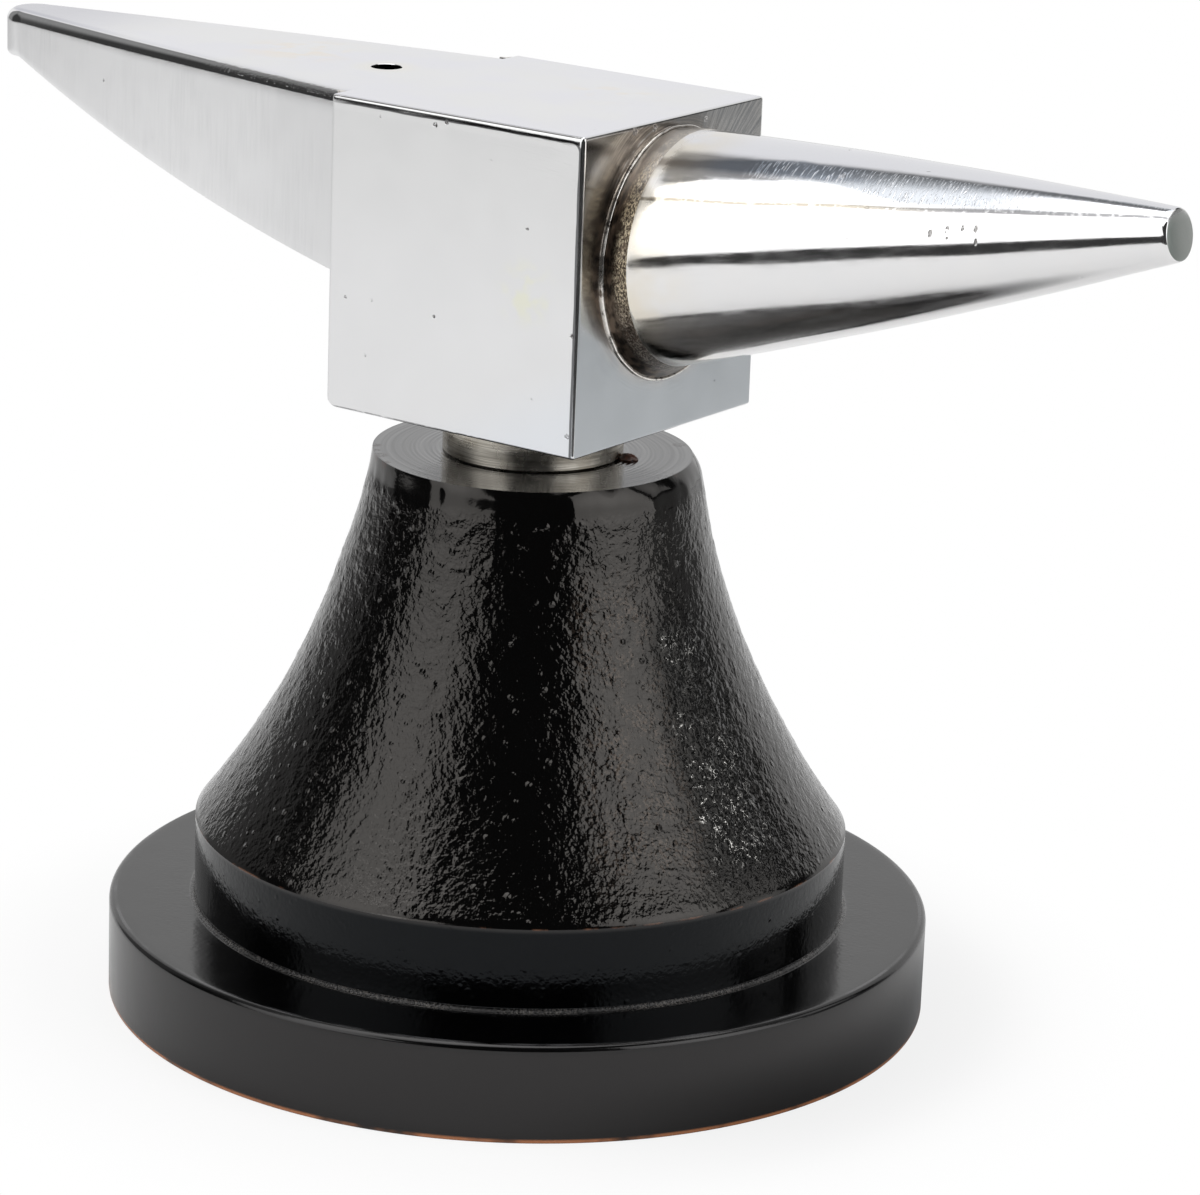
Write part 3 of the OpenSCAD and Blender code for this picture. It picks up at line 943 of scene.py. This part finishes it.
def paint_front(s, at):
    """The front face's faint green stain, its bluish tint towards the lower right corner, and its painted
    dark lines.
    """
    green = s.spot((9.3, block_low.y, 73.6), 4.2, 0.8) * s.patches(1.6, 4, 0.42, 0.62)
    s.paint(at.front * green * 0.75, (0.80, 0.80, 0.66))
    s.paint(at.front * (s.x * 0.5 - s.z).ramp(-62, -54) * 0.5, (0.74, 0.78, 0.84))
    painted_foot_line = s.z.ramp(block_low.z + 0.3, block_low.z + 0.2) * s.patches(1.2, 3, 0.3, 0.5)
    # painted dark lines: a painted reflection inside the upper and right-hand edges, and a dark line along
    # the lower edge
    lines = s.larger(painted_front_rim_reflection(s) * s.x.ramp(-15, -11), painted_foot_line * 0.8) * s.ny.ramp(-0.6, -0.9)
    s.paint(lines * 0.85, (0.06, 0.06, 0.065))


def paint_end(s, at):
    """The block's end face: bluish below, browned by the weld's heat above and round the horn, with painted
    light near its front edge and in its far corner.
    """
    rest = s.color
    s.color = s.blend(s.noise(6), (0.435, 0.46, 0.48), (0.495, 0.52, 0.54))
    streaks = s.blend(at.arcs.ramp(0.36, 0.64), (0.40, 0.35, 0.31), (0.74, 0.68, 0.61))
    s.paint(s.z.ramp(73, 83) * s.y.ramp(1, -4) * 0.9, streaks)
    halo = at.ring.ramp(WELD_RING_R + 2.2, WELD_RING_R - 0.2) * s.patches(1.5, 3, 0.2, 0.55)
    s.paint(halo * 0.6, s.blend(at.arcs.ramp(0.4, 0.6), (0.40, 0.355, 0.315), (0.68, 0.60, 0.52)))
    s.paint(s.spot((block_high.x, -13.6, 89.5), 8, 0.9) * 0.12, (0.15, 0.13, 0.115))
    # painted light: lighter patches low and high near the end face's front edge
    s.paint(s.y.ramp(-9.5, -12.5) * s.z.ramp(72, 77) * 0.65, (0.95, 0.92, 0.88))
    s.paint(s.spot((block_high.x, -12.6, 87.2), 4.5, 0.9) * 0.8, (0.97, 0.92, 0.87))
    # painted light in the far corner, laid along its real fan of grinding marks
    s.paint(at.far * at.fan.ramp(0.38, 0.62, 0.35, 1), (0.93, 0.92, 0.90))
    oval = s.length(s.y / OVAL_HALF_W, (s.z - OVAL_Z) / OVAL_HALF_H)
    # the thin bright line round the weld: painted highlight
    thin = oval.band(1.026, 1.034, 0.008) * s.y.ramp(-1, -4) * s.z.ramp(70, 76)
    s.paint(thin * s.patches(1.5, 3, 0.4, 0.55), (0.85, 0.83, 0.80))
    s.color = s.blend(at.end, rest, s.color)


def bright_steel():
    """Ground, polished and plated steel of the block and the flat horn, marked face by face."""
    s = Shader("ground_bright_steel")
    at = block_parts(s)
    s.color = s.blend(s.noise(7), (0.755, 0.755, 0.76), (0.805, 0.805, 0.81))
    # painted shade: the block's sides a little darker towards the top
    s.paint(at.below * s.z.ramp(70, 86) * s.x.ramp(-17, -13) * 0.7, (0.72, 0.72, 0.718))
    # painted light: the flat horn's sides and underside lighter than the block's
    s.paint(at.below * s.x.ramp(-15, -40), (0.88, 0.88, 0.885))
    ground = s.noise(0.35, 4, 0.65, s.stretched(1, 1, 0.06)).ramp(0.35, 0.7) * s.patches(6, 3, 0.3, 0.65)
    s.paint(ground * at.below * s.x.ramp(-14, -18) * 0.22, (0.60, 0.60, 0.61))
    paint_top(s, at)
    paint_front(s, at)
    paint_end(s, at)
    s.paint(at.pitted, (0.12, 0.11, 0.11))
    near_top = s.z.ramp(WORK_Z - 1.6, WORK_Z - 1) * at.below
    gloss = s.noise(5).ramp(0.3, 0.7, 0.10, 0.15) + at.end * 0.05 - near_top * 0.06
    return s.steel(block_height(s, at), gloss)


def horn_parts(s):
    """The round horn's strips and marks; the strips' tones are painted reflections. A strip is told by rise,
    the slope of the surface round the horn.
    """
    at = SimpleNamespace(rise=s.math("ARCTAN2", s.nz, s.ny * -1.0))
    end = s.x.ramp(round_high.x - 0.95, round_high.x - 0.55)
    at.tip = end * s.nx.ramp(0.9, 0.96)
    out = s.larger(s.x - 24, 0.0) * 0.01615
    line_off = s.math("ABSOLUTE", at.rise - (out * out * out * out + 0.572))
    at.line = (line_off / s.x.ramp(30, 60, 0.018, 0.06)).ramp(1.4, 0.4) * (1 - end)
    at.strip = (at.rise - s.x.ramp(33, 45, 0.84, 0.62)).ramp(-0.03, 0.08) * at.rise.ramp(1.14, 1.06)
    at.strip = at.strip * s.x.ramp(26, 31) * s.x.ramp(62, 50)
    at.rings = s.noise(0.15, 1, 0.5, s.join(s.x, at.rise * 0.7))
    at.scratch = at.rings.ramp(0.56, 0.64)
    wavy = at.rise + s.noise(3, 2) * 0.08 - 0.04
    dark_low = s.x.ramp(42, 66, 0.84, 1.08)
    dark_top = s.x.ramp(19, 31, 0.98, 1.12) + s.x.ramp(50, 66, 0.0, 0.14)
    at.dark = (wavy - dark_low).ramp(0.0, 0.1) * (wavy - dark_top).ramp(0.05, -0.02) * (1 - end)
    at.seam = s.x.ramp(ROUND_START.x + SEAM_X + 1.8, ROUND_START.x + SEAM_X + 0.2)
    at.marks = s.spots(HORN_NICKS, HORN_NICK_SLIM) * s.patches(0.3, 2, 0.36, 0.5)
    return at


def paint_horn(s, at):
    """Bright, with a painted bluish reflection above and golden at the root; the scratched strip's grey, the
    dark strip and the line are painted reflections, with painted sparkles on the scratches.
    """
    s.color = s.blend(s.noise(5), (0.80, 0.80, 0.81), (0.85, 0.84, 0.83))
    # bluish towards the top: a painted reflection
    s.paint(s.nz.ramp(0.5, 0.9) * 0.6, (0.76, 0.77, 0.83))
    # the scratched strip's grey: a painted reflection, with its scratches left bright
    s.paint(at.strip * at.scratch.ramp(0, 1, 0.95, 0.1), (0.42, 0.44, 0.47))
    s.paint(s.x.ramp(26, 18) * s.patches(4, 2, 0.2, 0.6) * 0.7, (0.80, 0.73, 0.60))
    # the dark strip's colour: a painted dark reflection
    shade = s.blend(s.x.ramp(33, 42), (0.26, 0.29, 0.34), (0.38, 0.40, 0.43))
    shade = s.blend(s.x.ramp(25, 19), shade, (0.34, 0.30, 0.26))
    # scratches left bright in the dark strip: painted sparkles
    sparkle = at.scratch * s.x.ramp(26, 31) * s.patches(1.5, 2, 0.35, 0.6)
    s.paint(at.dark * sparkle.ramp(0, 1, 0.92, 0.25), shade)
    # the line: a painted reflection of a gap between lamps, tan and then dark grey
    gap_reflection_color = s.blend(s.x.ramp(36, 50), (0.25, 0.22, 0.17), (0.15, 0.15, 0.155))
    s.paint(at.line * s.noise(0.5).ramp(0.3, 0.5, 0.6, 0.9), gap_reflection_color)
    s.paint(at.seam * at.rise.ramp(-0.4, -0.9) * 0.8, (0.16, 0.14, 0.12))
    s.paint(at.marks * 0.8, (0.16, 0.15, 0.14))
    s.paint(at.tip, s.blend(s.y.ramp(-2.2, 1), (0.30, 0.33, 0.31), (0.46, 0.48, 0.46)))


def horn_steel():
    """Mirror-polished and plated; one strip near the top is left full of fine scratches that run round it."""
    s = Shader("horn_bright_steel")
    at = horn_parts(s)
    paint_horn(s, at)
    shine = 1 - at.tip
    nick = s.cells(1.5, s.stretched(0.5)).ramp(0.12, 0.05) * s.patches(6, 2, 0.52, 0.62) * 0.5
    tilt = (0, ROUND_TILT, 0)
    height = s.noise(0.16, 3, 0.65, s.stretched(0.05, turn=tilt)) * 0.0011 + s.noise(2.5, 2) * 0.006
    height = height + at.strip * (at.rings * 0.008 - at.scratch * 0.014) - s.larger(nick, at.marks) * 0.02
    height = height * shine + at.tip * s.noise(0.25, 3, 0.6) * 0.02
    gloss = s.noise(0.5, 4, 0.6, s.stretched(0.06, turn=tilt)).ramp(0.35, 0.7, 0.04, 0.12)
    gloss = gloss * shine * (1 - at.strip) + at.tip * 0.45 + at.strip * 0.2
    gloss = gloss + at.seam * at.rise.ramp(-0.1, 0.3) * 0.3 + at.rise.ramp(0.25, -0.1) * 0.05
    return s.steel(height, gloss)


def weld_steel():
    """Ground weld under the plating: a bright lip, a dark brown hollow whose darkness is partly a painted
    reflection, and a grainy end at the horn.
    """
    s = Shader("weld_bright_steel")
    across = Field(s, s.add("ShaderNodeAttribute", {"attribute_name": "across"}).outputs["Fac"])
    axis_z = s.z - ROUND_AXIS_Z
    around = s.join(s.x, s.math("ARCTAN2", axis_z, s.y) * 4, axis_z * 0.2)
    lip = across.ramp(0.42, 0.36)
    grainy = across.ramp(0.55, 0.75) * s.patches(1.2, 3, 0.25, 0.5)
    height = s.noise(0.16, 3, 0.7) * grainy.ramp(0, 1, 0.008, 0.05) + s.noise(0.2, 2, 0.5, around) * 0.012
    # the hollow's brown, darkened nearly to black as a painted dark reflection
    brown = s.blend(s.noise(0.5, 3, 0.5, around).ramp(0.35, 0.65), (0.03, 0.024, 0.02), (0.16, 0.12, 0.09))
    golden = s.blend(axis_z.ramp(-7, -1), (0.42, 0.36, 0.30), (0.82, 0.70, 0.50))
    golden = s.blend(s.noise(0.12, 4, 0.7, around).ramp(0.45, 0.62), (0.07, 0.052, 0.04), golden)
    s.color = s.blend(grainy, brown, golden)
    s.paint(axis_z.ramp(5, 10) * 0.7, (0.56, 0.53, 0.50))
    s.paint(lip * s.patches(0.7, 3, 0.3, 0.5), (0.80, 0.77, 0.73))
    return s.steel(height, (1 - lip) * 0.14 + 0.14)


def bead_steel():
    """The flat horn's weld: bright, with a few dark flaws low down."""
    s = Shader("bead_bright_steel")
    flaw = s.patches(0.7, 3, 0.53, 0.6) * s.z.ramp(85, 82)
    s.color = s.blend(s.noise(1.5), (0.80, 0.79, 0.77), (0.60, 0.55, 0.50))
    s.paint(flaw, (0.10, 0.09, 0.085))
    return s.steel(s.noise(0.3) * 0.02 - flaw * 0.08, 0.16)


def turned_steel():
    """The shank: bare, turned, and browned a little by oil."""
    s = Shader("turned_bare_steel")
    level = s.stretched(0.02, 0.02, 1)
    lines = s.noise(0.13, 3, 0.7, level)
    s.color = s.blend(lines.ramp(0.3, 0.7), (0.38, 0.35, 0.295), (0.84, 0.80, 0.72))
    s.paint(s.patches(3, 4, 0.45, 0.65) * 0.4, (0.24, 0.20, 0.145))
    height = lines * 0.006 + s.noise(0.5, 2, 0.5, level) * 0.01 + s.noise(0.4) * 0.003
    return s.steel(height, s.noise(2).ramp(0.3, 0.7, 0.22, 0.36))


def zinc_steel():
    s = Shader("zinc_plated_steel")
    s.color = s.blend(s.noise(1.2, 4), (0.58, 0.60, 0.64), (0.72, 0.72, 0.70))
    height = s.noise(0.3) * 0.006 + s.noise(0.15, 2, 0.6) * 0.002
    return s.steel(height, s.noise(0.9).ramp(0.3, 0.7, 0.25, 0.4))


def spring_steel():
    s = Shader("oiled_spring_steel")
    s.color = s.blend(s.noise(0.9, 4), (0.06, 0.06, 0.065), (0.16, 0.15, 0.14))
    return s.steel(s.noise(0.4) * 0.01 + s.noise(0.12, 2) * 0.002, 0.35)


def dress(piece, material, node=None, body=None):
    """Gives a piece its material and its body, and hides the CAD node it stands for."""
    piece.data.materials.clear()
    piece.data.materials.append(material)
    if body:
        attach(piece, body)
    if node:
        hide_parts(node)


# ---- the studio, in metres

FOCAL_PX = 4707.1
PRINCIPAL_PX = Vector((597.96, 584.43))
PHOTO_PX = Vector((1200, 1195))
SENSOR = 36


def make_camera():
    data = bpy.data.cameras.new("photo_camera")
    camera = new_object("photo_camera", data)
    axes = Matrix((CAMERA_RIGHT, -CAMERA_DOWN, -CAMERA_FORWARD)).transposed()
    camera.matrix_world = Matrix.Translation(CAMERA_AT * MM) @ axes.to_4x4()
    data.sensor_fit = "HORIZONTAL"
    data.sensor_width = SENSOR
    data.lens = FOCAL_PX * SENSOR / PHOTO_PX.x
    data.shift_x = (PHOTO_PX.x / 2 - PRINCIPAL_PX.x) / PHOTO_PX.x
    data.shift_y = (PRINCIPAL_PX.y - PHOTO_PX.y / 2) / PHOTO_PX.x
    data.clip_start, data.clip_end = 0.01, 20
    bpy.context.scene.camera = camera


GLOW_MIDDLE = 1.3
GLOW_EDGE = 0.85


def glow_middle(data):
    """Makes a softbox brighter towards its middle, as a diffuser over one lamp is."""
    n = Nodes(data)
    place = n.add("ShaderNodeNewGeometry").outputs["Parametric"]
    glow = n.measure("DISTANCE", place, (0.5, 0.5, 0)).ramp(0.05, 0.6, GLOW_MIDDLE, GLOW_EDGE)
    lit = n.add("ShaderNodeEmission", Color=(1, 1, 1), Strength=glow)
    n.add("ShaderNodeOutputLight", Surface=lit.outputs[0])


def make_softbox(name, middle, turn, width, height, radiance):
    data = bpy.data.lights.new(name, "AREA")
    data.shape = "RECTANGLE"
    data.size, data.size_y = width, height
    data.energy = radiance * pi * width * height
    glow_middle(data)
    lamp = new_object(name, data)
    lamp.location = middle
    lamp.rotation_mode = "QUATERNION"
    lamp.rotation_quaternion = turn


def standing_softbox(name, azimuth, width, low_z, high_z, radiance, roll=0, distance=0.80):
    """A softbox that faces the object; azimuth and roll are in degrees, azimuth from the camera."""
    way = level_way(azimuth)
    middle = way * distance + Vector((0, 0, (low_z + high_z) / 2))
    turn = (-way).to_track_quat("-Z", "Y") @ Quaternion((0, 0, 1), radians(roll))
    make_softbox(name, middle, turn, width, high_z - low_z, radiance)


def overhead_softbox(name, height, left, right, front, back, radiance, swing):
    """A level softbox over the object, its edges swung by some degrees from the camera's axes."""
    a = radians(swing)
    along = ASIDE * cos(a) + AWAY * sin(a)
    across = AWAY * cos(a) - ASIDE * sin(a)
    middle = along * (left + right) / 2 + across * (front + back) / 2 + Vector((0, 0, height))
    turn = Matrix((along, across, Vector((0, 0, 1)))).transposed().to_quaternion()
    make_softbox(name, middle, turn, right - left, back - front, radiance)


ROOM = 0.04
CEILING = 0.35
CORNER = 0.28
CORNER_AZIMUTH = 115
SIDE_GLOW = 0.25
SIDE_GLOW_AZIMUTH = -126
BACKDROP = 0.88
BACKDROP_AZIMUTH = 172
BACKDROP_HALF = 48
BACKDROP_TOP = 50


def make_world():
    """The surroundings by direction: a white backdrop behind the object and a dim room elsewhere."""
    world = bpy.data.worlds.new("studio")
    bpy.context.scene.world = world
    w = Nodes(world)
    direction = w.add("ShaderNodeTexCoord").outputs["Generated"]
    level = w.vector("NORMALIZE", w.vector("MULTIPLY", direction, (1, 1, 0)))
    up = w.split(direction)[2]

    def towards(azimuth):
        return w.measure("DOT_PRODUCT", level, level_way(azimuth))

    near, far = (cos(radians(BACKDROP_HALF + soft)) for soft in (-4, 6))
    over, under = (sin(radians(BACKDROP_TOP + soft)) for soft in (5, -5))
    backdrop = towards(BACKDROP_AZIMUTH).ramp(far, near) * up.ramp(over, under) * BACKDROP
    ceiling = up.ramp(0.6, 0.85) * towards(180).ramp(-0.6, 0.0) * (CEILING - ROOM)
    glow = towards(SIDE_GLOW_AZIMUTH).ramp(0.91, 0.99) * up.ramp(0.75, 0.6) * (SIDE_GLOW - ROOM)
    corner = towards(CORNER_AZIMUTH).ramp(0.7, 0.85) * up.ramp(0.25, 0.15) * up.ramp(-0.26, -0.22)
    dim = ceiling + corner * (CORNER - ROOM) + glow + ROOM
    seen = w.add("ShaderNodeLightPath").outputs["Is Camera Ray"]
    strength = w.larger(seen, w.larger(dim, backdrop))
    background = w.add("ShaderNodeBackground", Color=(1, 1, 1), Strength=strength)
    w.add("ShaderNodeOutputWorld", Surface=background.outputs[0])


# the floor, in millimetres
FLOOR_FRONT = 200
FLOOR_LEFT = 750
FLOOR_RIGHT = 300
FLOOR_BACK = 1200
FLOOR_SEEN = 0.85
FLOOR_MIRRORED = 0.08
SHADE_AT = ASIDE * 54 - AWAY * 18
SHADE_R = 64
SHADE_W = 16


def make_floor():
    """White paper, darker round the foot where the object's shade lies; it looks white from the camera."""
    corners = [(-FLOOR_LEFT, -FLOOR_FRONT), (FLOOR_RIGHT, -FLOOR_FRONT), (FLOOR_RIGHT, FLOOR_BACK),
               (-FLOOR_LEFT, FLOOR_BACK)]
    floor = mesh_object("floor", [ASIDE * x + AWAY * y for x, y in corners], [(0, 1, 2, 3)])
    s = Shader("pale_floor")
    paths = s.add("ShaderNodeLightPath").outputs
    kinds = ("Is Camera Ray", "Is Glossy Ray", "Is Transmission Ray")
    camera, glossy, through = (Field(s, paths[kind]) for kind in kinds)
    reach = s.distance((0, 0, 0))
    seen = camera * reach.ramp(45, 64, FLOOR_SEEN, 1.0) + (glossy + through) * FLOOR_MIRRORED
    shade = reach.ramp(FOOT_R + SHADE_W, FOOT_R) * s.distance(SHADE_AT).ramp(SHADE_R, 0.4 * SHADE_R)
    paper = s.add("ShaderNodeBsdfDiffuse", Color=s.blend(shade, (0.95, 0.95, 0.95), (0.27, 0.275, 0.28)))
    white = s.add("ShaderNodeEmission", Color=(1, 1, 1), Strength=1.0)
    both = s.add("ShaderNodeMixShader", Fac=seen)
    s.put(both.inputs[1], paper.outputs[0])
    s.put(both.inputs[2], white.outputs[0])
    s.add("ShaderNodeOutputMaterial", Surface=both.outputs[0])
    dress(floor, s.material)


# ---- the making

make_camera()
make_world()
make_floor()

standing_softbox("left_softbox", azimuth=-60, width=0.68, low_z=0.02, high_z=0.96, radiance=1.45, roll=26)
standing_softbox("right_softbox", azimuth=55.5, width=0.78, low_z=0.01, high_z=0.90, radiance=1.7)
standing_softbox("right_card", azimuth=97, width=0.30, low_z=0.28, high_z=0.70, radiance=0.9)
overhead_softbox("top_softbox", height=0.63, left=-0.60, right=0.36, front=-0.20, back=0.252,
                 radiance=1.75, swing=35)
bpy.context.scene.view_settings.view_transform = "Standard"

GROUND = bright_steel()
ZINC = zinc_steel()

dress(make_stand(), black_enamel(), "stand", "stand")
dress(make_paint_run(), run_enamel(), None, "stand")
dress(make_block(), GROUND, "anvil_block", "head")
dress(make_flat_horn(), GROUND, "flat_horn", "head")
dress(make_flat_weld(), bead_steel(), "flat_horn_weld", "head")
dress(make_round_horn(), horn_steel(), "round_horn", "head")
dress(make_round_weld(), weld_steel(), "round_horn_weld", "head")
for node, steel in (("shank", turned_steel()), ("retaining_screw", ZINC), ("plain_washer", ZINC),
                    ("spring_washer", spring_steel())):
    dress(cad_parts[node], steel)
